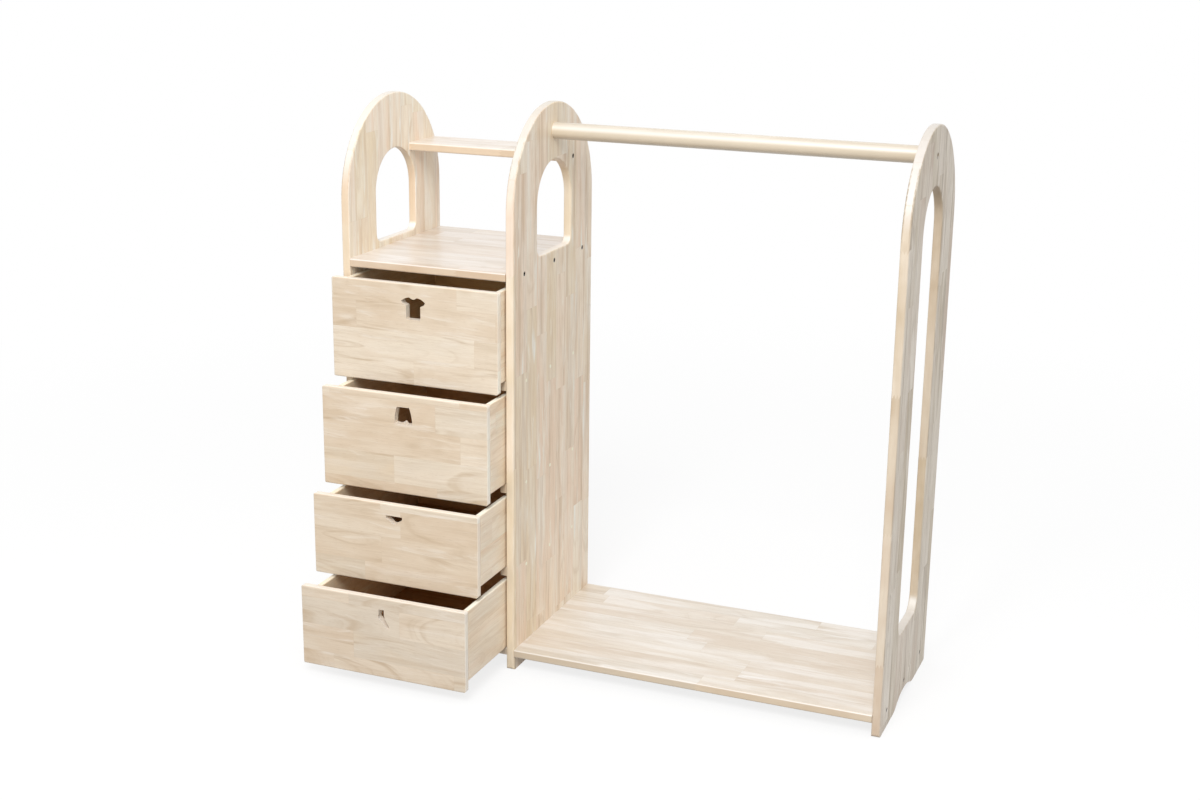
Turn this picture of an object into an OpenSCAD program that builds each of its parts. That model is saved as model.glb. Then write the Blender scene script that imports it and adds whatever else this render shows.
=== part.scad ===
// Open-front wardrobe for a child's room: three arched uprights, a bank of four drawers
// between the left and middle ones, and a hanging bay between the middle and right ones.
// Millimetres. X runs along the width and Y from front to back, with 0 at the middle of the
// whole as it stands with its drawers open, and Z rises from the ground under the feet.

/* [Uprights] */
// Depth of the uprights, front to back
panel_depth = 418; // [360:1:500]
// Thickness of the uprights and of the boards between them
board_t = 18; // [15:1:24]
// Width of the ring of wood around the arched windows
window_margin = 120; // [90:1:140]
// Radius of the lower corners of the two small windows
small_window_corner = 18; // [6:1:30]
// Radius of the lower corners of the tall window
tall_window_corner = 34; // [10:1:60]
// Height of the sill of the tall window above the ground
tall_window_sill = 166; // [100:1:400]
// Height of the sill of the small windows above the top board of the drawer unit
small_window_sill = 14; // [5:1:30]
// Radius that eases the long edges of uprights and boards
edge_r = 3.5; // [1:0.5:6]
// Radius that eases the outer corners of the feet
foot_corner_r = 7; // [2:1:15]

/* [Feet] */
// Length of each foot, front to back
foot_w = 116; // [80:1:150]
// Height of the hollow between the feet
foot_notch_h = 20; // [8:1:28]
// Radius that blends the hollow into the soles of the feet
foot_blend_r = 60; // [10:1:80]

/* [Bays] */
// Clear width of the drawer bay
drawer_bay_w = 360; // [260:1:520]
// Clear width of the hanging bay
hanging_bay_w = 786; // [500:1:1100]
// Height of the underside of the floor boards above the ground
floor_lift = 29.5; // [29:0.5:80]
// Height from the top board of the drawer unit to the crown of the uprights
cubby_h = 327; // [290:1:450]
// How far the front edge of the base board is set back
base_setback = 6; // [0:1:20]
// Diameter of the hanging rail
rail_d = 35; // [25:1:45]

/* [Back panel of the drawer unit] */
// Thickness of the back panel
back_panel_t = 6; // [3:0.5:10]
// Distance from the back edge of the uprights to the back panel
back_panel_inset = 10; // [4:1:20]
// Depth of the grooves that hold the back panel
back_groove = 6; // [3:0.5:9]

/* [Drawers] */
// Height of the fronts of the two upper drawers
upper_front_h = 216; // [160:0.5:260]
// Height of the fronts of the two lower drawers
lower_front_h = 178.5; // [140:0.5:230]
// Thickness of the drawer fronts
front_t = 16; // [14:0.5:22]
// Gap between one drawer front and the next
front_gap = 8; // [3:0.5:15]
// Gap between the highest drawer front and the top board
top_gap = 16.2; // [4:0.2:30]
// How far a front hangs below the box behind it
front_skirt = 22; // [18:1:40]
// How far the fronts reach past the outer face of the left upright
front_lip = 10; // [0:1:20]
// Radius of the corners of the fronts
front_corner_r = 6; // [4:1:15]
// Radius that eases the edges of the drawer boards
drawer_edge_r = 3; // [1:0.5:4]
// Thickness of the box sides and backs
box_t = 12; // [10:0.5:16]
// Gap on each side of a drawer box
box_side_gap = 2.5; // [1:0.5:5]
// Gap behind a closed drawer box
box_back_gap = 14; // [4:1:60]
// Thickness of the drawer bottoms
bottom_t = 5; // [3:0.5:8]
// Height of the grooves for the drawer bottoms above the lower edges of the box
bottom_lift = 8; // [5:1:15]
// Depth of the grooves for the drawer bottoms
bottom_groove = 5; // [2:0.5:6]

/* [How far each drawer stands open] */
// Pull of the shirt drawer, the highest
shirt_pull = 16; // [1:1:280]
// Pull of the shorts drawer
shorts_pull = 68; // [1:1:280]
// Pull of the briefs drawer
briefs_pull = 117; // [1:1:280]
// Pull of the sock drawer, the lowest
sock_pull = 178; // [1:1:280]

/* [Finger cut-outs in the fronts] */
// Height of the shirt
shirt_h = 47; // [30:0.5:70]
// Height of the shorts
shorts_h = 38; // [25:0.5:60]
// Height of the briefs
briefs_h = 17.5; // [14:0.5:35]
// Height of the sock
sock_h = 40; // [30:0.5:60]
// Distance from the top of the front to the shirt
shirt_drop = 28; // [20:0.5:60]
// Distance from the top of the front to the shorts
shorts_drop = 25.5; // [20:0.5:60]
// Distance from the top of the front to the briefs
briefs_drop = 25; // [20:0.5:60]
// Distance from the top of the front to the sock
sock_drop = 25; // [20:0.5:60]

/* [Runners] */
// Height of the runner strips
runner_h = 20; // [14:1:24]
// Width of the runner strips
runner_w = 15; // [12:1:20]
// Distance of the runner strips from the front of the uprights
runner_setback = 5; // [2:1:30]
// Distance from the front of the uprights to the front runner dowels
runner_dowel_front = 64; // [30:1:120]
// Distance from the back of the uprights to the rear runner dowels
runner_dowel_rear = 102; // [60:1:160]

/* [Fasteners] */
// Distance of the outer board screws from the front and back of the uprights
screw_inset = 55; // [30:1:100]
// Length of the board screws
screw_len = 50; // [40:1:60]
// Diameter of the head of the board screws
screw_head_d = 10; // [8:0.5:12]
// Diameter of the head of the two rail bolts
rail_bolt_head_d = 13; // [11:0.5:16]
// Diameter of the dowels that carry the runners and join the boards
dowel_d = 8; // [6:0.5:10]
// Diameter of the dowels in the corners of the drawers
corner_dowel_d = 6; // [4:0.5:7]
// Distance of the corner dowels from the upper and lower edges of the box
corner_dowel_inset = 30; // [25:1:45]

/* [Hidden] */
$fn = 96;

// Clearances
cut_past = 1;          // how far a cut runs past the face that it opens
seat_gap = 0.3;        // between a sliding or resting piece and its seat
groove_play = 0.2;     // of a thin panel in its groove
bore_play = 0.05;      // of a screw or dowel in its bore, all round
board_from_window = 9; // of the upper back board from the window's arch
board_from_rim = 1.5;  // of the upper back board from the upright's arch
board_over_crown = 3;  // of the upper back board's top over the crown of the windows

// Drawers are numbered from the top
DRAWERS = ["shirt", "shorts", "briefs", "sock"];
FRONT_HEIGHTS = [upper_front_h, upper_front_h, lower_front_h, lower_front_h];
PULLS = [shirt_pull, shorts_pull, briefs_pull, sock_pull];
CUTOUT_DROPS = [shirt_drop, shorts_drop, briefs_drop, sock_drop];
lowest = len(DRAWERS) - 1;
function number(drawer) = search([drawer], DRAWERS)[0];

// Places along the width
carcass_w = 3 * board_t + drawer_bay_w + hanging_bay_w;
left_x = (front_lip - carcass_w) / 2;
drawer_bay_x = left_x + board_t;
middle_x = drawer_bay_x + drawer_bay_w;
hanging_bay_x = middle_x + board_t;
right_x = hanging_bay_x + hanging_bay_w;

// Places along the depth
front_y = (max(PULLS) + front_t - panel_depth) / 2;
back_y = front_y + panel_depth;
mid_y = front_y + panel_depth / 2;
back_panel_y = back_y - back_panel_inset - back_panel_t;
box_depth = back_panel_y - box_back_gap - front_y;

// Heights of the drawer bank, built up from the base board
base_top = floor_lift + board_t;
function box_bottom(i) =
    i == lowest ? base_top + seat_gap : front_top(i + 1) + front_gap + front_skirt;
function front_bottom(i) = box_bottom(i) - front_skirt;
function front_top(i) = front_bottom(i) + FRONT_HEIGHTS[i];
function box_h(i) = FRONT_HEIGHTS[i] - front_skirt;
unit_top_z = front_top(0) + top_gap;

// Heights of the arches
arch_r = panel_depth / 2;
window_r = arch_r - window_margin;
panel_h = unit_top_z + board_t + cubby_h;
spring_z = panel_h - arch_r;
rail_z = panel_h - window_margin / 2;
small_sill_z = unit_top_z + board_t + small_window_sill;

// The upper back board fills the ring of wood behind the crown of the small windows
upper_board_top = spring_z + window_r + board_over_crown;
upper_board_z = upper_board_top - board_t;
upper_board_front =
    mid_y + sqrt(pow(window_r + board_from_window, 2) - pow(upper_board_z - spring_z, 2));
upper_board_back =
    mid_y + sqrt(pow(arch_r - board_from_rim, 2) - pow(upper_board_top - spring_z, 2));
upper_screw_y = upper_board_front + 0.28 * (upper_board_back - upper_board_front);
upper_dowel_y = upper_board_front + 0.75 * (upper_board_back - upper_board_front);

// Drawer boxes, fronts and runners
box_left_x = drawer_bay_x + box_side_gap;
box_right_x = middle_x - box_side_gap;
box_inner_w = box_right_x - box_left_x - 2 * box_t;
front_left_x = left_x - front_lip;
front_w = box_right_x - front_left_x;
function box_front_y(i) = front_y - PULLS[i];
function box_back_y(i) = box_front_y(i) + box_depth;
function runner_z(i) = box_bottom(i) - seat_gap - runner_h;

// Fasteners
board_screw_ys = [front_y + screw_inset, mid_y, back_y - screw_inset];
first_runner_dowel_y = front_y + runner_dowel_front;
last_runner_dowel_y = back_y - runner_dowel_rear;
runner_dowel_ys = [
    first_runner_dowel_y,
    (first_runner_dowel_y + last_runner_dowel_y) / 2,
    last_runner_dowel_y
];
screw_recess = 0.8;
screw_head_h = 3;
screw_shank_d = 7;
screw_core_d = 5;
screw_tip_h = 4;
socket_w = 4;
socket_h = 2;
rail_bolt_recess = 3;
rail_bolt_head_h = 4;
runner_dowel_len = board_t + runner_w - 3;
board_dowel_len = 30;
board_dowel_in_panel = 12;
centre_dowel_reach = 22;
corner_dowel_len = 24;
corner_dowel_in_front = 9;
corner_dowel_in_side = 7;

// Colours
WOOD = "#e8d6ba";
WOOD_LIGHT = "#f1e4cd";
PLY = "#d9c19a";
STEEL = "#4a4744";

// General shapes

// Rectangle with eased corners, its lower left corner at the origin
module eased_rect(w, h, r) {
    translate([r, 0])
        square([w - 2 * r, h]);
    translate([0, r])
        square([w, h - 2 * r]);
    for (x = [r, w - r], y = [r, h - r])
        translate([x, y])
            circle(r);
}

// Runs a section drawn in depth and height along the width
module along_x(length) {
    rotate([90, 0, 90])
        linear_extrude(length)
            children();
}

// Runs a section drawn in width and height along the depth
module along_y(length) {
    translate([0, length, 0])
        rotate([90, 0, 0])
            linear_extrude(length)
                children();
}

// Turns a shape that stands along Z to point along the width, to the right or the left
module pointing(to_right) {
    rotate([0, to_right ? 90 : -90, 0])
        children();
}

// Points of an arc from p to q, without q, that bulges to its right by sagitta
function arc_between(p, q, sagitta, steps = 8) =
    let (
        chord = q - p,
        half = norm(chord) / 2,
        r = (half * half + sagitta * sagitta) / (2 * abs(sagitta)),
        outward = [chord[1], -chord[0]] / norm(chord) * sign(sagitta),
        centre = (p + q) / 2 - outward * (r - abs(sagitta)),
        sweep = asin(half / r)
    )
    [for (k = [0:steps - 1])
        let (a = sweep * (2 * k / steps - 1))
        centre + outward * r * cos(a) + chord / norm(chord) * r * sin(a)];

// Points of a half outline and of its mirror image, as one closed outline
function both_halves(half) =
    concat(half, [for (k = [len(half) - 1:-1:0]) [-half[k][0], half[k][1]]]);

// Fasteners

// Countersunk board screw with a hexagon socket, its head at the origin, pointing along Z
module board_screw() {
    color(STEEL)
        difference() {
            union() {
                cylinder(h = screw_head_h, d = screw_head_d);
                cylinder(h = board_t - screw_recess, d = screw_shank_d);
                cylinder(h = screw_len - screw_tip_h, d = screw_core_d);
                translate([0, 0, screw_len - screw_tip_h])
                    cylinder(h = screw_tip_h, d1 = screw_core_d, d2 = 1);
            }
            translate([0, 0, -cut_past])
                cylinder(h = socket_h + cut_past, d = socket_w, $fn = 6);
        }
}

// Hole for a board screw, from the outer face at the origin
module board_screw_bore() {
    depth = screw_recess + screw_len + seat_gap;
    translate([0, 0, -cut_past])
        cylinder(h = screw_recess + screw_head_h + cut_past, d = screw_head_d + 2 * bore_play);
    cylinder(h = board_t, d = screw_shank_d + 2 * bore_play);
    cylinder(h = depth, d = screw_core_d + 2 * bore_play);
}

// Bolt for the end of the rail, its head at the origin, pointing along Z
module rail_bolt() {
    color(STEEL)
        difference() {
            union() {
                cylinder(h = rail_bolt_head_h, d = rail_bolt_head_d);
                cylinder(h = screw_len, d = screw_shank_d);
            }
            translate([0, 0, -cut_past])
                cylinder(h = socket_h + cut_past, d = socket_w + 2, $fn = 6);
        }
}

// Hole for a rail bolt, from the outer face at the origin
module rail_bolt_bore() {
    translate([0, 0, -cut_past])
        cylinder(
            h = rail_bolt_recess + rail_bolt_head_h + cut_past,
            d = rail_bolt_head_d + 2 * bore_play
        );
    cylinder(h = rail_bolt_recess + screw_len + seat_gap, d = screw_shank_d + 2 * bore_play);
}

// Wooden dowel that points along Z
module dowel(length, d) {
    color(WOOD_LIGHT)
        cylinder(h = length, d = d);
}

// Blind hole for a dowel that fills it, from the origin along Z
module dowel_bore(length, d) {
    translate([0, 0, -cut_past])
        cylinder(h = length + cut_past, d = d + 2 * bore_play);
}

// Places of the fasteners: each runs its children there, pointing into the board

module at_floor_screws() {
    for (y = board_screw_ys)
        translate([right_x + board_t, y, floor_lift + board_t / 2])
            pointing(false)
                children();
}

module at_base_screws() {
    for (y = board_screw_ys)
        translate([left_x, y, floor_lift + board_t / 2])
            pointing(true)
                children();
}

module at_top_board_screws() {
    for (y = board_screw_ys) {
        translate([left_x, y, unit_top_z + board_t / 2])
            pointing(true)
                children();
        translate([middle_x + board_t, y, unit_top_z + board_t / 2])
            pointing(false)
                children();
    }
}

module at_upper_board_screws() {
    translate([left_x, upper_screw_y, upper_board_z + board_t / 2])
        pointing(true)
            children();
    translate([middle_x + board_t, upper_screw_y, upper_board_z + board_t / 2])
        pointing(false)
            children();
}

module at_upper_board_dowels() {
    for (x = [drawer_bay_x - board_dowel_in_panel,
              middle_x + board_dowel_in_panel - board_dowel_len])
        translate([x, upper_dowel_y, upper_board_z + board_t / 2])
            pointing(true)
                children();
}

module at_rail_bolts() {
    translate([middle_x, mid_y, rail_z])
        pointing(true)
            children();
    translate([right_x + board_t, mid_y, rail_z])
        pointing(false)
            children();
}

module at_centre_joint_dowels() {
    for (y = board_screw_ys)
        translate([middle_x - centre_dowel_reach, y, floor_lift + board_t / 2])
            pointing(true)
                children();
}

module at_left_runner_dowels() {
    for (i = [0:lowest - 1], y = runner_dowel_ys)
        translate([left_x, y, runner_z(i) + runner_h / 2])
            pointing(true)
                children();
}

module at_right_runner_dowels() {
    for (i = [0:lowest - 1], y = runner_dowel_ys)
        translate([middle_x + board_t, y, runner_z(i) + runner_h / 2])
            pointing(false)
                children();
}

// Uprights. They are drawn flat, with depth along X, height along Y and thickness along Z,
// and then stood up.

// Half of the upright's section, from its middle to its eased edge
module half_panel_section() {
    intersection() {
        translate([-arch_r, 0])
            eased_rect(panel_depth, board_t, edge_r);
        square([arch_r, board_t]);
    }
}

// Half of a window's section, from its middle to an edge that is eased on both faces
module half_window_section(reach) {
    translate([0, -cut_past])
        square([reach, board_t + 2 * cut_past]);
    for (face = [0, 1])
        translate([0, face * board_t])
            mirror([0, face])
                difference() {
                    translate([reach, -cut_past])
                        square([edge_r, edge_r + cut_past]);
                    translate([reach + edge_r, edge_r])
                        circle(edge_r);
                }
}

// Arched window with rounded lower corners, the centre of its arch at the origin
module window_cut(drop, corner_r) {
    side_h = drop - corner_r;
    sill_w = window_r - corner_r;
    rotate_extrude(angle = 180)
        half_window_section(window_r);
    for (side = [0, 1])
        mirror([side, 0, 0]) {
            rotate([90, 0, 0])
                linear_extrude(side_h)
                    half_window_section(window_r);
            translate([sill_w, -side_h, 0])
                rotate([0, 0, -90])
                    rotate_extrude(angle = 90)
                        half_window_section(corner_r);
        }
    translate([-sill_w, -side_h, 0])
        mirror([0, 1, 0])
            rotate([90, 0, 90])
                linear_extrude(2 * sill_w)
                    half_window_section(corner_r);
}

// Hollow between the feet: a shallow arc that blends into the soles at both ends
module foot_notch_outline() {
    half_w = panel_depth / 2 - foot_w;
    centres_apart = (half_w * half_w + foot_notch_h * foot_notch_h) / (2 * foot_notch_h);
    blend_r = min(foot_blend_r, 0.4 * centres_apart);
    arc_r = centres_apart - blend_r;
    meet_x = half_w * arc_r / centres_apart;
    meet_y = foot_notch_h * blend_r / centres_apart;
    intersection() {
        translate([0, foot_notch_h - arc_r])
            circle(arc_r);
        translate([-meet_x, -cut_past])
            square([2 * meet_x, foot_notch_h + 2 * cut_past]);
    }
    for (side = [0, 1])
        mirror([side, 0])
            difference() {
                translate([meet_x, -cut_past])
                    square([half_w - meet_x, meet_y + cut_past]);
                translate([half_w, blend_r])
                    circle(blend_r);
            }
}

// Cut that eases one lower outer corner of the feet
module foot_corner_outline() {
    translate([-arch_r, 0])
        difference() {
            translate([-cut_past, -cut_past])
                square(foot_corner_r + cut_past);
            translate([foot_corner_r, foot_corner_r])
                circle(foot_corner_r);
        }
}

module upright_blank(window_sill, window_corner) {
    rotate([90, 0, 90])
        difference() {
            union() {
                translate([0, spring_z, 0])
                    rotate_extrude(angle = 180)
                        half_panel_section();
                translate([-arch_r, spring_z, 0])
                    rotate([90, 0, 0])
                        linear_extrude(spring_z)
                            eased_rect(panel_depth, board_t, edge_r);
            }
            translate([0, spring_z, 0])
                window_cut(spring_z - window_sill, window_corner);
            translate([0, 0, -cut_past])
                linear_extrude(board_t + 2 * cut_past) {
                    foot_notch_outline();
                    for (side = [0, 1])
                        mirror([side, 0])
                            foot_corner_outline();
                }
        }
}

// Groove for the back panel of the drawer unit
module back_panel_groove(x) {
    translate([x, back_panel_y - groove_play / 2, base_top])
        cube([back_groove, back_panel_t + groove_play, unit_top_z - base_top]);
}

module left_side_panel() {
    color(WOOD)
        difference() {
            translate([left_x, mid_y, 0])
                upright_blank(small_sill_z, small_window_corner);
            back_panel_groove(drawer_bay_x - back_groove);
            at_base_screws()
                board_screw_bore();
            at_top_board_screws()
                board_screw_bore();
            at_upper_board_screws()
                board_screw_bore();
            at_upper_board_dowels()
                translate([0, 0, -bore_play])
                    cylinder(h = board_dowel_len, d = dowel_d + 2 * bore_play);
            at_left_runner_dowels()
                dowel_bore(runner_dowel_len, dowel_d);
        }
}

module middle_side_panel() {
    color(WOOD)
        difference() {
            translate([middle_x, mid_y, 0])
                upright_blank(small_sill_z, small_window_corner);
            back_panel_groove(middle_x);
            at_top_board_screws()
                board_screw_bore();
            at_upper_board_screws()
                board_screw_bore();
            at_upper_board_dowels()
                cylinder(h = board_dowel_len + bore_play, d = dowel_d + 2 * bore_play);
            at_right_runner_dowels()
                dowel_bore(runner_dowel_len, dowel_d);
            at_centre_joint_dowels()
                cylinder(h = 2 * centre_dowel_reach + board_t, d = dowel_d + 2 * bore_play);
            at_rail_bolts()
                rail_bolt_bore();
        }
}

module right_side_panel() {
    color(WOOD)
        difference() {
            translate([right_x, mid_y, 0])
                upright_blank(tall_window_sill, tall_window_corner);
            at_floor_screws()
                board_screw_bore();
            at_rail_bolts()
                rail_bolt_bore();
        }
}

// Boards between the uprights

module hanging_rail() {
    color(WOOD_LIGHT)
        difference() {
            translate([hanging_bay_x, mid_y, rail_z])
                pointing(true)
                    cylinder(h = hanging_bay_w, d = rail_d);
            at_rail_bolts()
                rail_bolt_bore();
        }
}

module wardrobe_floor() {
    color(WOOD_LIGHT)
        difference() {
            translate([hanging_bay_x, front_y, floor_lift])
                along_x(hanging_bay_w)
                    eased_rect(panel_depth, board_t, edge_r);
            at_floor_screws()
                board_screw_bore();
            at_centre_joint_dowels()
                cylinder(
                    h = 2 * centre_dowel_reach + board_t + bore_play,
                    d = dowel_d + 2 * bore_play
                );
        }
}

module drawer_unit_base() {
    color(WOOD_LIGHT)
        difference() {
            translate([drawer_bay_x, front_y + base_setback, floor_lift])
                along_x(drawer_bay_w)
                    eased_rect(panel_depth - base_setback, board_t, edge_r);
            at_base_screws()
                board_screw_bore();
            at_centre_joint_dowels()
                translate([0, 0, -bore_play])
                    cylinder(h = centre_dowel_reach + board_t, d = dowel_d + 2 * bore_play);
        }
}

module drawer_unit_top() {
    color(WOOD_LIGHT)
        difference() {
            translate([drawer_bay_x, front_y, unit_top_z])
                along_x(drawer_bay_w)
                    eased_rect(panel_depth, board_t, edge_r);
            at_top_board_screws()
                board_screw_bore();
        }
}

module upper_back_board() {
    color(WOOD_LIGHT)
        difference() {
            translate([drawer_bay_x, upper_board_front, upper_board_z])
                along_x(drawer_bay_w)
                    eased_rect(upper_board_back - upper_board_front, board_t, edge_r);
            at_upper_board_screws()
                board_screw_bore();
            at_upper_board_dowels()
                translate([0, 0, -bore_play])
                    cylinder(
                        h = board_dowel_len + 2 * bore_play,
                        d = dowel_d + 2 * bore_play
                    );
        }
}

module drawer_unit_back_panel() {
    w = drawer_bay_w + 2 * (back_groove - groove_play);
    color(PLY)
        translate([drawer_bay_x - back_groove + groove_play, back_panel_y, base_top])
            cube([w, back_panel_t, unit_top_z - base_top - seat_gap]);
}

// Runner strips that the sides of the three upper boxes slide on

module runner(i, x) {
    length = back_panel_y - seat_gap - front_y - runner_setback;
    color(WOOD)
        difference() {
            translate([x, front_y + runner_setback, runner_z(i)])
                cube([runner_w, length, runner_h]);
            at_left_runner_dowels()
                dowel_bore(runner_dowel_len + bore_play, dowel_d);
            at_right_runner_dowels()
                dowel_bore(runner_dowel_len + bore_play, dowel_d);
        }
}

module left_runner(drawer) {
    runner(number(drawer), drawer_bay_x);
}

module right_runner(drawer) {
    runner(number(drawer), middle_x - runner_w);
}

// Fasteners in their places

module left_runner_dowels() {
    at_left_runner_dowels()
        dowel(runner_dowel_len, dowel_d);
}

module right_runner_dowels() {
    at_right_runner_dowels()
        dowel(runner_dowel_len, dowel_d);
}

module rail_bolts() {
    at_rail_bolts()
        translate([0, 0, rail_bolt_recess])
            rail_bolt();
}

module floor_screws() {
    at_floor_screws()
        translate([0, 0, screw_recess])
            board_screw();
}

module base_screws() {
    at_base_screws()
        translate([0, 0, screw_recess])
            board_screw();
}

module top_board_screws() {
    at_top_board_screws()
        translate([0, 0, screw_recess])
            board_screw();
}

module upper_board_screws() {
    at_upper_board_screws()
        translate([0, 0, screw_recess])
            board_screw();
}

module upper_board_dowels() {
    at_upper_board_dowels()
        dowel(board_dowel_len, dowel_d);
}

module centre_joint_dowels() {
    at_centre_joint_dowels()
        dowel(2 * centre_dowel_reach + board_t, dowel_d);
}

// Finger cut-outs, each hung from the middle of its upper edge at the origin. Their points
// are shares of their height.

module shirt_outline() {
    collar = [0.2, 0] * shirt_h;
    cuff_top = [0.59, -0.19] * shirt_h;
    cuff_low = [0.53, -0.3] * shirt_h;
    armpit = [0.355, -0.38] * shirt_h;
    hem = [0.355, -1] * shirt_h;
    neck_half_w = 0.17 * shirt_h;
    neck_depth = 0.075 * shirt_h;
    neck_r = (neck_half_w * neck_half_w + neck_depth * neck_depth) / (2 * neck_depth);
    sleeve = arc_between(cuff_top, collar, 0.04 * shirt_h);
    difference() {
        polygon(both_halves(concat([hem, armpit, cuff_low], sleeve, [collar])));
        translate([0, neck_r - neck_depth])
            circle(neck_r);
    }
}

module shorts_outline() {
    waist = [0.375, 0] * shorts_h;
    hem_out = [0.55, -0.97] * shorts_h;
    hem_in = [0.135, -1] * shorts_h;
    crotch = [0, -0.84] * shorts_h;
    leg = arc_between(hem_out, waist, 0.045 * shorts_h);
    polygon(both_halves(concat([crotch, hem_in], leg, [waist])));
}

module briefs_outline() {
    waist = [1.1, 0] * briefs_h;
    side = [1.1, -0.43] * briefs_h;
    crotch = [0.26, -1] * briefs_h;
    leg = arc_between(crotch, side, -0.085 * briefs_h);
    polygon(both_halves(concat(leg, [side, waist])));
}

module sock_outline() {
    cuff_back = [-0.17, 0] * sock_h;
    cuff_front = [0.13, 0] * sock_h;
    ankle = [0.13, -0.29] * sock_h;
    toe_top = [0.4, -0.86] * sock_h;
    toe_tip = [0.28, -1] * sock_h;
    heel_low = [-0.14, -0.55] * sock_h;
    heel_back = [-0.2, -0.32] * sock_h;
    instep = arc_between(ankle, toe_top, 0.03 * sock_h);
    toe = arc_between(toe_top, toe_tip, -0.06 * sock_h);
    heel = arc_between(heel_low, heel_back, -0.055 * sock_h);
    polygon(concat([cuff_back, cuff_front], instep, toe, [toe_tip], heel, [heel_back]));
}

module cutout_outline(drawer) {
    if (drawer == "shirt") shirt_outline();
    if (drawer == "shorts") shorts_outline();
    if (drawer == "briefs") briefs_outline();
    if (drawer == "sock") sock_outline();
}

// Drawers. Each piece takes the name of its drawer.

function corner_dowel_zs(i) =
    [box_bottom(i) + corner_dowel_inset, front_top(i) - corner_dowel_inset];

// Runs its children at the front corner joints, pointing from the front into the sides
module at_front_corner_dowels(i) {
    for (x = [box_left_x + box_t / 2, box_right_x - box_t / 2], z = corner_dowel_zs(i))
        translate([x, box_front_y(i) - corner_dowel_in_front, z])
            rotate([-90, 0, 0])
                children();
}

// Runs its children at the back corner joints, pointing along the width
module at_back_corner_dowels(i) {
    for (x = [box_left_x + box_t - corner_dowel_in_side,
              box_right_x - box_t + corner_dowel_in_side - corner_dowel_len],
         z = corner_dowel_zs(i))
        translate([x, box_back_y(i) - box_t / 2, z])
            pointing(true)
                children();
}

module corner_dowel_bores(i) {
    at_front_corner_dowels(i)
        translate([0, 0, -bore_play])
            cylinder(h = corner_dowel_len + 2 * bore_play, d = corner_dowel_d + 2 * bore_play);
    at_back_corner_dowels(i)
        translate([0, 0, -bore_play])
            cylinder(h = corner_dowel_len + 2 * bore_play, d = corner_dowel_d + 2 * bore_play);
}

// The groove round the inside of a box that holds its bottom
module bottom_groove_cut(i) {
    translate([
        box_left_x + box_t - bottom_groove,
        box_front_y(i) - bottom_groove,
        box_bottom(i) + bottom_lift
    ])
        cube([
            box_inner_w + 2 * bottom_groove,
            box_depth - box_t + 2 * bottom_groove,
            bottom_t + groove_play
        ]);
}

// Plate with rounded corners whose edges are eased all round
module front_blank(h) {
    intersection() {
        along_y(front_t)
            eased_rect(front_w, h, front_corner_r);
        along_x(front_w)
            eased_rect(front_t, h, drawer_edge_r);
        linear_extrude(h)
            eased_rect(front_w, front_t, drawer_edge_r);
    }
}

module drawer_front(drawer) {
    i = number(drawer);
    color(WOOD)
        difference() {
            translate([front_left_x, box_front_y(i) - front_t, front_bottom(i)])
                front_blank(FRONT_HEIGHTS[i]);
            translate([
                front_left_x + front_w / 2,
                box_front_y(i) - front_t - cut_past,
                front_top(i) - CUTOUT_DROPS[i]
            ])
                along_y(front_t + 2 * cut_past)
                    cutout_outline(drawer);
            bottom_groove_cut(i);
            corner_dowel_bores(i);
        }
}

module drawer_side(i, x) {
    color(WOOD_LIGHT)
        difference() {
            translate([x, box_front_y(i), box_bottom(i)])
                along_y(box_depth)
                    eased_rect(box_t, box_h(i), drawer_edge_r);
            bottom_groove_cut(i);
            corner_dowel_bores(i);
        }
}

module drawer_left_side(drawer) {
    drawer_side(number(drawer), box_left_x);
}

module drawer_right_side(drawer) {
    drawer_side(number(drawer), box_right_x - box_t);
}

module drawer_back(drawer) {
    i = number(drawer);
    color(WOOD_LIGHT)
        difference() {
            translate([box_left_x + box_t, box_back_y(i) - box_t, box_bottom(i)])
                along_x(box_inner_w)
                    eased_rect(box_t, box_h(i), drawer_edge_r);
            bottom_groove_cut(i);
            corner_dowel_bores(i);
        }
}

module drawer_bottom(drawer) {
    i = number(drawer);
    reach = bottom_groove - groove_play;
    color(PLY)
        translate([
            box_left_x + box_t - reach,
            box_front_y(i) - reach,
            box_bottom(i) + bottom_lift
        ])
            cube([box_inner_w + 2 * reach, box_depth - box_t + 2 * reach, bottom_t]);
}

module drawer_corner_dowels(drawer) {
    i = number(drawer);
    at_front_corner_dowels(i)
        dowel(corner_dowel_len, corner_dowel_d);
    at_back_corner_dowels(i)
        dowel(corner_dowel_len, corner_dowel_d);
}

left_side_panel();
middle_side_panel();
right_side_panel();
hanging_rail();
wardrobe_floor();
drawer_unit_base();
drawer_unit_top();
upper_back_board();
drawer_unit_back_panel();
left_runner("shirt");  // shirt_drawer_left_runner
right_runner("shirt");  // shirt_drawer_right_runner
left_runner("shorts");  // shorts_drawer_left_runner
right_runner("shorts");  // shorts_drawer_right_runner
left_runner("briefs");  // briefs_drawer_left_runner
right_runner("briefs");  // briefs_drawer_right_runner
left_runner_dowels();
right_runner_dowels();
rail_bolts();
floor_screws();
base_screws();
top_board_screws();
upper_board_screws();
upper_board_dowels();
centre_joint_dowels();
drawer_front("shirt");  // shirt_drawer_front
drawer_left_side("shirt");  // shirt_drawer_left_side
drawer_right_side("shirt");  // shirt_drawer_right_side
drawer_back("shirt");  // shirt_drawer_back
drawer_bottom("shirt");  // shirt_drawer_bottom
drawer_corner_dowels("shirt");  // shirt_drawer_corner_dowels
drawer_front("shorts");  // shorts_drawer_front
drawer_left_side("shorts");  // shorts_drawer_left_side
drawer_right_side("shorts");  // shorts_drawer_right_side
drawer_back("shorts");  // shorts_drawer_back
drawer_bottom("shorts");  // shorts_drawer_bottom
drawer_corner_dowels("shorts");  // shorts_drawer_corner_dowels
drawer_front("briefs");  // briefs_drawer_front
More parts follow.
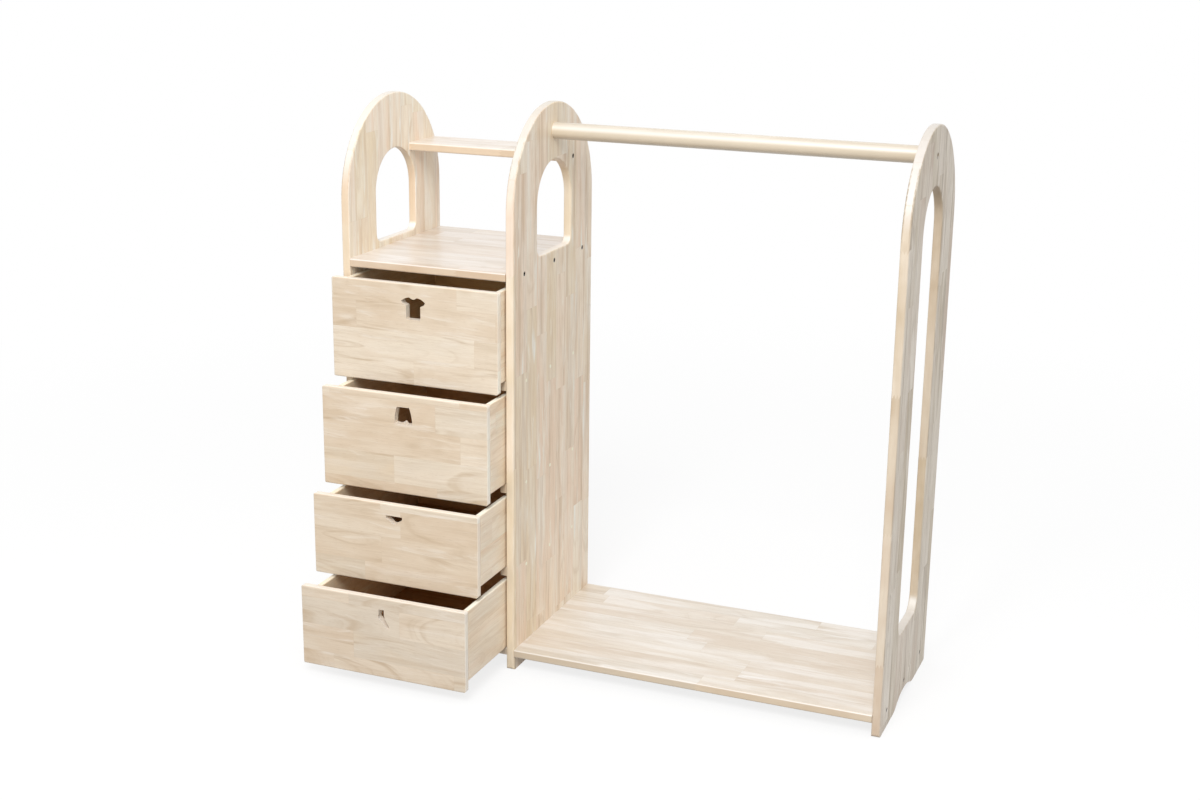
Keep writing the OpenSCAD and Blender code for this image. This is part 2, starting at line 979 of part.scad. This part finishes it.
drawer_left_side("briefs");  // briefs_drawer_left_side
drawer_right_side("briefs");  // briefs_drawer_right_side
drawer_back("briefs");  // briefs_drawer_back
drawer_bottom("briefs");  // briefs_drawer_bottom
drawer_corner_dowels("briefs");  // briefs_drawer_corner_dowels
drawer_front("sock");  // sock_drawer_front
drawer_left_side("sock");  // sock_drawer_left_side
drawer_right_side("sock");  // sock_drawer_right_side
drawer_back("sock");  // sock_drawer_back
drawer_bottom("sock");  // sock_drawer_bottom
drawer_corner_dowels("sock");  // sock_drawer_corner_dowels
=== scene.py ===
import math

import bpy
from mathutils import Matrix, Vector


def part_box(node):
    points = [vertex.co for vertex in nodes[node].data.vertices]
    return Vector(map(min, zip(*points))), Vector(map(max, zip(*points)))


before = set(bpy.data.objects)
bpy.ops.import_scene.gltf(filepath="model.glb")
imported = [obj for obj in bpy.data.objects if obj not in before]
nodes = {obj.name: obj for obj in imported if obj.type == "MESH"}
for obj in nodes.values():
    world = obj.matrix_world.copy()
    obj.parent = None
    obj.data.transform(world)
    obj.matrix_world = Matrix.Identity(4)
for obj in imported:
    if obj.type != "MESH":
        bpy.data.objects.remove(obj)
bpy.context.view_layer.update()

scene = bpy.context.scene
print("frame loaded:", len(nodes), "pieces")


# Camera, placed from the foot of the front right edge of the middle upright

cameraView = {
    "right": 1.4775,      # metres to the right of that edge
    "front": 3.1985,      # metres in front of it
    "height": 1.6315,     # metres above the ground
    "turnLeft": 21.886,   # degrees from straight ahead
    "lookDown": 16.172,   # degrees
    "roll": 0.720,        # degrees
    "lens": 53.18,        # millimetres
    "sensor": 36.0,       # millimetres
}


def makeCamera():
    low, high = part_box("middle_side_panel")
    turn = math.radians(cameraView["turnLeft"])
    down = math.radians(cameraView["lookDown"])
    roll = math.radians(cameraView["roll"])
    ahead = Vector((-math.sin(turn) * math.cos(down), math.cos(turn) * math.cos(down), -math.sin(down)))
    side = Vector((math.cos(turn), math.sin(turn), 0))
    up = side.cross(ahead)
    rolledSide = side * math.cos(roll) + up * math.sin(roll)
    rolledUp = up * math.cos(roll) - side * math.sin(roll)
    data = bpy.data.cameras.new("photoCamera")
    data.sensor_width = cameraView["sensor"]
    data.lens = cameraView["lens"]
    camera = bpy.data.objects.new("photoCamera", data)
    scene.collection.objects.link(camera)
    turned = Matrix((rolledSide, rolledUp, -ahead)).transposed().to_4x4()
    spot = Vector((high.x + cameraView["right"], low.y - cameraView["front"], cameraView["height"]))
    camera.matrix_world = Matrix.Translation(spot) @ turned
    scene.camera = camera


makeCamera()
print("camera placed")


# Shader helpers

# Turns a screen colour, 0 to 255, into the linear one that a shader takes
def paint(red, green, blue):
    parts = []
    for value in (red / 255, green / 255, blue / 255):
        parts.append(value / 12.92 if value <= 0.04045 else ((value + 0.055) / 1.055) ** 2.4)
    return (*parts, 1.0)


# A value, colour or vector on its way through a finish. Sums on values add Math nodes.
class Signal:
    def __init__(self, finish, socket):
        self.finish = finish
        self.socket = socket

    def maths(self, operation, *others):
        inputs = dict(enumerate((self, *others)))
        return self.finish.add("ShaderNodeMath", {"operation": operation}, inputs)

    def __add__(self, other):
        return self.maths("ADD", other)

    __radd__ = __add__

    def __sub__(self, other):
        return self.maths("SUBTRACT", other)

    def __rsub__(self, other):
        return (self * -1) + other

    def __mul__(self, other):
        return self.maths("MULTIPLY", other)

    __rmul__ = __mul__

    def __truediv__(self, other):
        return self.maths("DIVIDE", other)

    def floor(self):
        return self.maths("FLOOR")

    def fract(self):
        return self.maths("FRACT")

    def root(self):
        return self.maths("SQRT")

    def size(self):
        return self.maths("ABSOLUTE")

    def lesser(self, other):
        return self.maths("MINIMUM", other)

    def greater(self, other):
        return self.maths("MAXIMUM", other)

    # Straight-sided wave between 0 and 1 that repeats once for each 1 of the value
    def zigzag(self):
        return (self.fract() * 2 - 1).size()

    # Soft step: 0 up to low, 1 from high on
    def step(self, low, high):
        settings = {"interpolation_type": "SMOOTHSTEP"}
        return self.finish.add("ShaderNodeMapRange", settings, {0: self, 1: low, 2: high})

    def parts(self):
        split = self.finish.add("ShaderNodeSeparateXYZ", {}, {0: self}).socket.node
        return [Signal(self.finish, socket) for socket in split.outputs]


# The nodes of one material or of the world, which is its owner
class Finish:
    def __init__(self, owner):
        owner.use_nodes = True
        self.owner = owner
        self.tree = owner.node_tree
        self.tree.nodes.clear()

    # Adds a node. The settings go in first, then the values and links of its sockets.
    def add(self, kind, settings, inputs, output=0):
        made = self.tree.nodes.new(kind)
        for key, value in settings.items():
            if key == "stops":
                self.setStops(made.color_ramp, value)
            else:
                setattr(made, key, value)
        for key, value in inputs.items():
            if isinstance(value, Signal):
                self.tree.links.new(value.socket, made.inputs[key])
            else:
                made.inputs[key].default_value = value
        return Signal(self, made.outputs[output])

    # Spreads the colours evenly over a ramp
    def setStops(self, ramp, colours):
        while len(ramp.elements) < len(colours):
            ramp.elements.new(0.5)
        for index, colour in enumerate(colours):
            ramp.elements[index].position = index / (len(colours) - 1)
            ramp.elements[index].color = colour

    # The x, y and z of a point or of its normal, in the frame of the wardrobe
    def axes(self, output):
        return dict(zip("xyz", self.add("ShaderNodeTexCoord", {}, {}, output).parts()))

    def vector(self, x, y, z):
        return self.add("ShaderNodeCombineXYZ", {}, {0: x, 1: y, 2: z})

    def noise(self, place, detail=2.0, rough=0.5, twist=0.0):
        inputs = {"Vector": place, "Scale": 1.0, "Detail": detail, "Roughness": rough, "Distortion": twist}
        return self.add("ShaderNodeTexNoise", {}, inputs)

    # Three dice thrown anew for each whole step of x, y and z
    def dice(self, x, y, z):
        place = self.vector(x, y, z)
        return self.add("ShaderNodeTexWhiteNoise", {}, {"Vector": place}, "Color").parts()

    def ramp(self, value, colours):
        return self.add("ShaderNodeValToRGB", {"stops": colours}, {0: value})

    def mix(self, share, first, second):
        return self.add("ShaderNodeMix", {"data_type": "RGBA"}, {0: share, 6: first, 7: second}, 2)

    def bump(self, height, strength, distance):
        return self.add("ShaderNodeBump", {}, {"Height": height, "Strength": strength, "Distance": distance})

    def surface(self, **sockets):
        inputs = {key.replace("_", " "): value for key, value in sockets.items()}
        self.close(self.add("ShaderNodeBsdfPrincipled", {}, inputs))

    def close(self, shader, kind="ShaderNodeOutputMaterial"):
        end = self.tree.nodes.new(kind)
        self.tree.links.new(shader.socket, end.inputs["Surface"])


# Wood. Each board is glued up from staves, and each stave from blocks joined end to end.

woodLook = {
    # Differences from the colour of the board, in screen steps: first those of its blocks
    "blocks": [(-9, -9, -9), (5, 6, 8), (-5, -9, -11), (9, 11, 14), (-3, 0, 4), (2, -1, -5)],
    "dark": (-30, -38, -46),    # of rings and bands, and of the painted shade on edges that face down
    "pale": (12, 18, 28),       # of small milky flecks
    "milk": (20, 27, 38),       # of large milky patches and veils
    "pore": (-44, -54, -62),
    "glue": (-34, -42, -50),
    "rim": (4, 4, 4),           # of edges and of the walls of windows and cut-outs: painted light and shade in place of how light falls on them
    "sill": (20, 27, 38),       # painted sheen of those edges where they face up
    "crown": (20, 27, 38),      # and painted sheen of those that face up above crownHeight
    "crownHeight": 0.95,        # metres above the ground
    "staveWidth": 0.046,        # metres, as the next four are
    "blockLength": 0.34,
    "fingerPitch": 0.0062,
    "fingerLength": 0.009,
    "ringWidth": 0.0065,
    "ringDepth": 0.40,          # how strongly each shows, 0 to 1
    "bandDepth": 0.30,
    "fleckDepth": 0.60,
    "milkDepth": 0.35,
    "veilDepth": 0.0,
    "fineDepth": 0.25,
    "poreDepth": 0.30,
    "glueDepth": 0.22,
    "endDepth": 0.12,
    "roughness": 0.45,
    "lacquer": 0.5,
}
uprightLook = woodLook | {
    "blocks": [(-13, -16, -20), (5, 7, 11), (-4, -10, -10), (8, 11, 17), (-9, -10, -16), (-2, 0, 0)],
    "dark": (-42, -52, -60),
    "pale": (8, 13, 22),
    "milk": (9, 20, 36),
    "rim": (-13, -11, -7),
    "sill": (-8, 5, 24),
    "crown": (-40, -24, -5),
    "staveWidth": 0.052,
    "bandDepth": 0.75,
    "fleckDepth": 1.0,
    "milkDepth": 0.95,
    "veilDepth": 0.30,
    "fineDepth": 0.42,
    "lacquer": 0.15,
}
leftUprightLook = uprightLook | {
    "rim": (-25, -33, -43),
    "crown": (-24, -11, 6),
    "bandDepth": 0.45,
    "fineDepth": 0.3,
}
rightUprightLook = uprightLook | {
    "blocks": [(-22, -27, -32), (10, 14, 19), (-8, -15, -15), (18, 23, 30), (-15, -17, -23), (0, 3, 3)],
    "dark": (-58, -64, -68),
    "pale": (22, 27, 34),
    "milk": (34, 40, 49),
    "rim": (-8, -13, -17),
    "sill": (22, 34, 52),
    "crown": (2, 15, 36),
    "veilDepth": 0.45,
}
frontLook = woodLook | {
    # Much paler rims: painted light on the fronts' edges and on the walls of their cut-outs, which lie in
    # shade
    "rim": (30, 36, 43),
    "staveWidth": 0.060,
    "blockLength": 0.32,
    "ringWidth": 0.011,
    "ringDepth": 0.80,
    "bandDepth": 0.34,
    "glueDepth": 0.12,
    "endDepth": 0.0,
}
boardLook = woodLook | {
    # Darker, yellower rims: painted shade on the boards' edges, against the painted sheen of their whitened
    # tops
    "rim": (-12, -23, -37),
    "staveWidth": 0.054,
    "blockLength": 0.42,
    "bandDepth": 0.42,
    "milkDepth": 0.9,
    "veilDepth": 0.60,
    "lacquer": 0.8,
}
# The boxes' rims are whiter: painted sheen on their top edges
sideLook = boardLook | {"rim": (0, 8, 18), "milkDepth": 0.35, "veilDepth": 0.2, "lacquer": 0.2}
roundLook = woodLook | {
    # Darker rim on the front and back of the rail: painted shade against the painted sheen of its whitened
    # top
    "rim": (-5, -10, -18),
    "staveWidth": 0.4,
    "blockLength": 2.0,
    "ringDepth": 0.45,
    "fleckDepth": 0.3,
}
dowelLook = roundLook | {
    "rim": (2, 2, 2),
    "ringWidth": 0.0016,
    "ringDepth": 0.12,
    "bandDepth": 0.08,
    "fineDepth": 0.08,
    "poreDepth": 0.08,
    "endDepth": 0.0,
    "roughness": 0.62,
    "lacquer": 0.0,
}
plyLook = frontLook | {
    "staveWidth": 3.0,
    "blockLength": 5.0,
    "ringWidth": 0.024,
    "roughness": 0.66,
    "lacquer": 0.0,
}

# How every wood is cut and glued
timber = {
    "staveShift": 0.31,          # stave widths by which the joints move from one piece to the next
    "shortestBlock": 0.75,       # block lengths
    "longerBlock": 0.5,          # block lengths that the longest one has more
    "blockShift": 17,            # block lengths by which one stave is moved against another, at most
    "treeLength": 40,            # noise waves between two blocks' places in the tree, at most
    "pithAside": 0.07,           # metres between the pith's places furthest to the left and right
    "pithDepth": 0.012,          # metres under the middle of the board, at least
    "pithDeeper": 0.05,          # metres that it may lie deeper
    "pithSlant": 0.13,           # metres that it rises or falls over a block, up and down together
    "ringWobble": 0.024,         # metres in all
    "ringFade": 1.5,             # noise waves along a block, by which a ring grows pale and dark
    "ringDetail": 3.0,
    "ringRoughness": 0.62,
    "drift": 0.016,              # metres in all by which the streaks stray from a straight line
    "glueEdge": (0.0002, 0.0007),  # metres from a joint: all glue up to the first, none past the second
    "crownRise": 0.05,           # metres over which a sill's colour turns into a crown's
}

# Noise drawn out along the grain: waves per metre along and across it, then detail, roughness and twist
noises = {
    "wobble": (3.5, 11, 2.0, 0.6, 0.0),
    "cloud": (6, 14, 3.0, 0.6, 0.0),
    "band": (2.2, 62, 4.0, 0.62, 0.0),
    "fleck": (9, 80, 3.0, 0.6, 0.8),
    "fine": (16, 380, 3.0, 0.65, 0.0),
    "patch": (1.7, 9, 1.0, 0.5, 0.0),
    "milk": (5.5, 40, 2.0, 0.5, 0.6),
    "veil": (3, 22, 2.0, 0.5, 0.4),
    "pore": (70, 1150, 1.0, 0.5, 0.0),
}

# The level of its noise where each mark begins, and the level where it is full
levels = {
    "ring": (0.50, 0.74),
    "band": (0.47, 0.69),
    "fleck": (0.55, 0.74),
    "fine": (0.35, 0.80),
    "patch": (0.42, 0.62),
    "milk": (0.56, 0.72),
    "veil": (0.45, 0.62),
    "pore": (0.64, 0.73),
}

# How far a normal leans to an axis where a face begins to count as one of these, and where it fully does
leans = {
    "end": (0.55, 0.95),
    "flat": (0.45, 0.90),
    "up": (0.05, 0.50),
    "down": (0.15, 0.85),
}

# How strongly the painted light and shade of the edges cover the colours below them, 0 to 1
edgeShares = {"rim": 0.85, "up": 0.9, "down": 0.6}

# How the colour of a block is drawn: by its dice, and a little by clouds that pass over the blocks
blockDraw = {"dice": 0.8, "cloud": 0.5, "start": -0.15}

# How much each mark raises or hollows the face, and how much it roughens it
relief = {
    "fine": 0.5,
    "pore": 0.5,
    "ring": 0.2,
    "glue": 0.6,
    "strength": 0.22,
    "depth": 0.0004,             # metres
    "fineRoughness": 0.25,
    "poreRoughness": 0.12,
    "lacquerRoughness": 0.30,
}


# Where a point lies in a glued board. grain gives the axes along the grain, across the staves and
# through the board, such as "zyx", and middle is the middle of the board.
class Board:
    def __init__(self, finish, look, grain, middle, seed):
        self.finish = finish
        self.look = look
        self.grain = grain
        self.seed = seed
        self.place = finish.axes("Object")
        self.normal = finish.axes("Normal")
        centre = dict(zip("xyz", middle))
        self.along, self.across, self.through = (self.place[axis] - centre[axis] for axis in grain)
        self.findBlock()
        self.shift = timber["treeLength"] * self.dice[2]
        self.wobble = self.noise("wobble", strays=False) - 0.5
        self.drift = self.across + self.wobble * timber["drift"]

    # Finds the block that the point lies in, with three dice of its own, and the point's place in the
    # width of the stave and in the length of the block, both from -0.5 to 0.5. Blocks meet in fingers.
    def findBlock(self):
        look = self.look
        stave = self.across / look["staveWidth"] + 0.5 + timber["staveShift"] * self.seed
        staveDice = self.finish.dice(stave.floor(), self.seed, 0.5)
        finger = (self.through / look["fingerPitch"]).zigzag() * look["fingerLength"]
        lengths = timber["shortestBlock"] + timber["longerBlock"] * staveDice[1]
        blockLength = lengths * look["blockLength"]
        block = (self.along + finger) / blockLength + timber["blockShift"] * staveDice[0]
        self.dice = self.finish.dice(stave.floor(), block.floor(), self.seed + 0.5)
        self.inStave = stave.fract() - 0.5
        self.inBlock = block.fract() - 0.5

    # A ring is a line of equal distance from a pith that runs a little aslant under each block:
    # distance = root of (across the block squared + depth under the face squared), plus a slow wobble
    def rings(self):
        aside = self.inStave * self.look["staveWidth"] + (self.dice[0] - 0.5) * timber["pithAside"]
        slant = self.inBlock * (self.dice[2] - 0.5) * timber["pithSlant"]
        under = self.through + timber["pithDepth"] + self.dice[1] * timber["pithDeeper"] + slant
        distance = (aside * aside + under * under).root() + self.wobble * timber["ringWobble"]
        fade = self.inBlock * timber["ringFade"]
        place = self.finish.vector(distance / self.look["ringWidth"], self.shift, fade)
        noise = self.finish.noise(place, timber["ringDetail"], timber["ringRoughness"])
        return noise.step(*levels["ring"])

    # One of the noises, cut anew from the tree for each block. If it strays, it follows the drift.
    def noise(self, name, strays=True):
        alongWaves, acrossWaves, detail, rough, twist = noises[name]
        across = self.drift if strays else self.across
        x = self.along * alongWaves + self.shift
        place = self.finish.vector(x, across * acrossWaves, self.through * acrossWaves)
        return self.finish.noise(place, detail, rough, twist)

    # The same from 0, where the mark begins, to 1, where it is full
    def marks(self, name, strays=True):
        return self.noise(name, strays).step(*levels[name])

    # Slow clouds that run on from block to block
    def clouds(self):
        alongWaves, acrossWaves, detail, rough, twist = noises["cloud"]
        z = self.through * acrossWaves + self.seed
        place = self.finish.vector(self.along * alongWaves, self.across * acrossWaves, z)
        return self.finish.noise(place, detail, rough, twist)

    # 1 in the glue between staves and between blocks
    def glue(self):
        toStave = (0.5 - self.inStave.size()) * self.look["staveWidth"]
        toBlock = (0.5 - self.inBlock.size()) * self.look["blockLength"]
        return 1 - toStave.lesser(toBlock).step(*timber["glueEdge"])

    # 1 where the grain ends in the face
    def ends(self):
        return self.normal[self.grain[0]].size().step(*leans["end"])

    # 1 on the edges of the board and on the walls of its holes
    def rims(self):
        return 1 - self.normal[self.grain[2]].size().step(*leans["flat"])

    def facesUp(self):
        return self.normal["z"].step(*leans["up"])

    def facesDown(self):
        return (self.normal["z"] * -1).step(*leans["down"])

    # 1 above the height where a sill's colour has turned into a crown's
    def crowns(self):
        height = self.look["crownHeight"]
        return self.place["z"].step(height, height + timber["crownRise"])


# The colour of a board plus a difference, with none of its parts past full
def near(colour, difference):
    return paint(*(min(255, part + step) for part, step in zip(colour, difference)))


# The colour of the rims, with painted light and shade: their blocks follow those of the faces, edges that
# face up take a painted sheen and edges that face down a painted shade
def rimLightAndShade(board, look, colour, draw):
    finish = board.finish
    blocks = [[part + step for part, step in zip(block, look["rim"])] for block in look["blocks"]]
    shade = finish.ramp(draw, [near(colour, block) for block in blocks])
    # Edges that face up take the colour of a sill or a crown: painted sheen
    upwardSheen = finish.mix(board.crowns(), near(colour, look["sill"]), near(colour, look["crown"]))
    shade = finish.mix(board.facesUp() * edgeShares["up"], shade, upwardSheen)
    # Edges that face down take the dark colour: painted shade
    return finish.mix(board.facesDown() * edgeShares["down"], shade, near(colour, look["dark"]))


# Mixes the colour of a board: first its block and its figure, then the painted light and shade of its edges,
# then its ends and joints
def woodFinish(name, look, colour, grain, middle, seed):
    finish = Finish(bpy.data.materials.new(name))
    board = Board(finish, look, grain, middle, seed)
    ring = board.rings()
    fine = board.noise("fine")
    pore = board.marks("pore")
    glue = board.glue()
    milk = board.marks("milk") * board.marks("patch", strays=False)

    dark = near(colour, look["dark"])
    milky = near(colour, look["milk"])
    draw = board.dice[0] * blockDraw["dice"] + board.clouds() * blockDraw["cloud"] + blockDraw["start"]
    shade = finish.ramp(draw, [near(colour, block) for block in look["blocks"]])
    shade = finish.mix(ring * look["ringDepth"], shade, dark)
    shade = finish.mix(board.marks("band") * look["bandDepth"], shade, dark)
    shade = finish.mix(board.marks("fleck") * look["fleckDepth"], shade, near(colour, look["pale"]))
    shade = finish.mix(board.marks("veil") * look["veilDepth"], shade, milky)
    shade = finish.mix(milk * look["milkDepth"], shade, milky)
    shade = finish.mix(board.marks("fine") * look["fineDepth"], shade, dark)
    shade = finish.mix(pore * look["poreDepth"], shade, near(colour, look["pore"]))
    # Edges and the walls of holes take their painted light and shade
    shade = finish.mix(board.rims() * edgeShares["rim"], shade, rimLightAndShade(board, look, colour, draw))
    shade = finish.mix(board.ends() * look["endDepth"], shade, dark)
    shade = finish.mix(glue * look["glueDepth"], shade, near(colour, look["glue"]))

    hollows = pore * relief["pore"] + ring * relief["ring"] + glue * relief["glue"]
    height = fine * relief["fine"] - hollows
    wear = (fine - 0.5) * relief["fineRoughness"] + pore * relief["poreRoughness"]
    finish.surface(
        Base_Color=shade,
        Roughness=wear + look["roughness"],
        Normal=finish.bump(height, relief["strength"], relief["depth"]),
        Coat_Weight=look["lacquer"],
        Coat_Roughness=relief["lacquerRoughness"],
    )
    return finish.owner


steel = {
    "colour": (38, 30, 26),
    "worn": (84, 72, 62),
    "wornShare": 0.6,
    "metallic": 0.9,
    "roughness": 0.33,        # at least
    "markRoughness": 0.3,     # more of it on turning marks and on scuffs, at most
    "scuffRoughness": 0.1,
    "markWaves": 900,         # per metre
    "markNoise": (3.0, 0.7),  # detail and roughness of the noise
    "scuffWaves": (260, 420),  # per metre, along x and z and along y
    "scuffLevels": (0.56, 0.72),
    "markStrength": 0.2,
    "markDepth": 0.0002,      # metres
}


# Blackened steel: fine turning marks round each head, and grey scuffs where a key has slipped
def steelFinish(name, seed):
    finish = Finish(bpy.data.materials.new(name))
    x, y, z = finish.axes("Object").values()
    waves = steel["markWaves"]
    marks = finish.noise(finish.vector(x * waves, y * waves, z * waves + seed), *steel["markNoise"])
    wide, close = steel["scuffWaves"]
    scuff = finish.noise(finish.vector(x * wide + seed, y * close, z * wide)).step(*steel["scuffLevels"])
    wear = marks * steel["markRoughness"] + scuff * steel["scuffRoughness"]
    finish.surface(
        Base_Color=finish.mix(scuff * steel["wornShare"], paint(*steel["colour"]), paint(*steel["worn"])),
        Metallic=steel["metallic"],
        Roughness=wear + steel["roughness"],
        Normal=finish.bump(marks, steel["markStrength"], steel["markDepth"]),
    )
    return finish.owner


# How each kind of piece looks: its wood, its colour on a screen and its grain, which runs with
# its length. The first ending that fits a piece's name is taken.
pieces = {
    "left_side_panel": (leftUprightLook, (252, 237, 214), "zyx"),
    "middle_side_panel": (uprightLook, (251, 233, 208), "zyx"),
    "right_side_panel": (rightUprightLook, (216, 200, 176), "zyx"),
    # The rail and the boards have paler, whiter colours than their wood: painted sheen on their tops, which
    # their darker rims take back on the edges
    "hanging_rail": (roundLook, (211, 199, 180), "xyz"),
    "wardrobe_floor": (boardLook, (220, 209, 193), "xyz"),
    "drawer_unit_base": (boardLook, (220, 209, 193), "xyz"),
    "drawer_unit_top": (boardLook, (221, 208, 192), "xyz"),
    "upper_back_board": (boardLook, (222, 207, 188), "xyz"),
    # The back panel is a brown board, made browner still as painted shade at the back of the drawer unit
    "drawer_unit_back_panel": (plyLook, (205, 162, 112), "zxy"),
    "shirt_drawer_front": (frontLook, (223, 207, 184), "xzy"),
    "shorts_drawer_front": (frontLook, (223, 206, 182), "xzy"),
    "briefs_drawer_front": (frontLook, (222, 205, 181), "xzy"),
    "sock_drawer_front": (frontLook, (219, 202, 179), "xzy"),
    # The insides of the drawers are warmer and browner than the outer sides: partly their plywood, partly
    # painted shade of the insides. The boxes' left sides, seen only from inside, are a little warmer for
    # that painted shade, and the shirt drawer's back and bottom are paler, painted light where they show
    # through its cut-out
    "shirt_drawer_back": (sideLook, (250, 212, 160), "xzy"),
    "_drawer_back": (sideLook, (222, 180, 128), "xzy"),
    "shirt_drawer_bottom": (plyLook, (250, 214, 164), "xyz"),
    "_drawer_bottom": (plyLook, (214, 172, 122), "xyz"),
    "_left_side": (sideLook, (244, 220, 186), "yzx"),
    "_right_side": (sideLook, (246, 227, 201), "yzx"),
    "_runner": (sideLook, (226, 202, 168), "yzx"),
    "_corner_dowels": (dowelLook, (240, 226, 202), "yxz"),
    "_dowels": (dowelLook, (255, 247, 222), "xyz"),
}


# Gives every node its finish. The seed sets the figure of each piece apart from the others.
def dressNodes():
    for seed, name in enumerate(sorted(nodes)):
        low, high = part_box(name)
        if name.endswith(("_screws", "_bolts")):
            material = steelFinish(name + "Steel", seed)
        else:
            ending = next(ending for ending in pieces if name.endswith(ending))
            look, colour, grain = pieces[ending]
            material = woodFinish(name + "Wood", look, colour, grain, (low + high) / 2, seed)
        for slot in nodes[name].material_slots:
            slot.material = material
        if not nodes[name].material_slots:
            nodes[name].data.materials.append(material)


dressNodes()
print("finishes made")


# Studio

studio = {
    "floorSize": 30.0,        # metres
    "floorDrop": 0.0004,      # metres that the floor lies under the soles
    "floorShade": 0.95,
    "floorBounce": 0.38,      # how much of its light the floor throws back on the wardrobe
    "floorGlow": 0.80,        # share of the floor near the wardrobe that shows as plain white to the camera
    "glowRise": (1.2, 3.5),   # metres from the middle between which that share grows to all of it
    "skyStrength": 0.75,
    "lampPlace": (0.6, -3.4, 3.9),
    "lampAim": (-0.1, 0.0, 0.6),
    "lampSize": 1.9,
    "lampPower": 160.0,
}


# True for rays that show a background: those of the camera, and those seen in gloss or glass
def backgroundRays(finish):
    rays = finish.add("ShaderNodeLightPath", {}, {}, "Is Camera Ray").socket.node
    camera, gloss, glass = (
        Signal(finish, rays.outputs[ray])
        for ray in ("Is Camera Ray", "Is Glossy Ray", "Is Transmission Ray")
    )
    return camera.greater(gloss).greater(glass)


def makeFloor():
    half = studio["floorSize"] / 2
    height = -studio["floorDrop"]
    corners = [(-half, -half, height), (half, -half, height), (half, half, height), (-half, half, height)]
    mesh = bpy.data.meshes.new("studioFloor")
    mesh.from_pydata(corners, [], [(0, 1, 2, 3)])
    floor = bpy.data.objects.new("studioFloor", mesh)
    scene.collection.objects.link(floor)
    mesh.materials.append(floorFinish())


# Pale floor that throws back little light. Most of it shows as plain white to the camera, and the
# rest keeps the shadow of the wardrobe.
def floorFinish():
    finish = Finish(bpy.data.materials.new("studioFloor"))
    seen = backgroundRays(finish)
    bounce = (*[studio["floorBounce"]] * 3, 1)
    shade = (*[studio["floorShade"]] * 3, 1)
    matt = finish.add("ShaderNodeBsdfDiffuse", {}, {"Color": finish.mix(seen, bounce, shade)})
    glow = finish.add("ShaderNodeEmission", {}, {"Color": (1, 1, 1, 1), "Strength": 1.0})
    place = finish.axes("Object")
    away = (place["x"] * place["x"] + place["y"] * place["y"]).root().step(*studio["glowRise"])
    share = seen * (away * (1 - studio["floorGlow"]) + studio["floorGlow"])
    finish.close(finish.add("ShaderNodeMixShader", {}, {0: share, 1: matt, 2: glow}))
    return finish.owner


# Even light from all round, which the camera sees as plain white
def makeSky():
    scene.world = bpy.data.worlds.new("studioSky")
    sky = Finish(scene.world)
    strength = backgroundRays(sky) * (1 - studio["skyStrength"]) + studio["skyStrength"]
    light = sky.add("ShaderNodeBackground", {}, {"Color": (1, 1, 1, 1), "Strength": strength})
    sky.close(light, "ShaderNodeOutputWorld")


def makeLamp():
    data = bpy.data.lights.new("keyLamp", "AREA")
    data.shape = "SQUARE"
    data.size = studio["lampSize"]
    data.energy = studio["lampPower"]
    lamp = bpy.data.objects.new("keyLamp", data)
    scene.collection.objects.link(lamp)
    spot = Vector(studio["lampPlace"])
    aim = (Vector(studio["lampAim"]) - spot).to_track_quat("-Z", "Y")
    lamp.matrix_world = Matrix.Translation(spot) @ aim.to_matrix().to_4x4()


makeFloor()
makeSky()
makeLamp()
scene.view_settings.view_transform = "Standard"
print("studio lit")
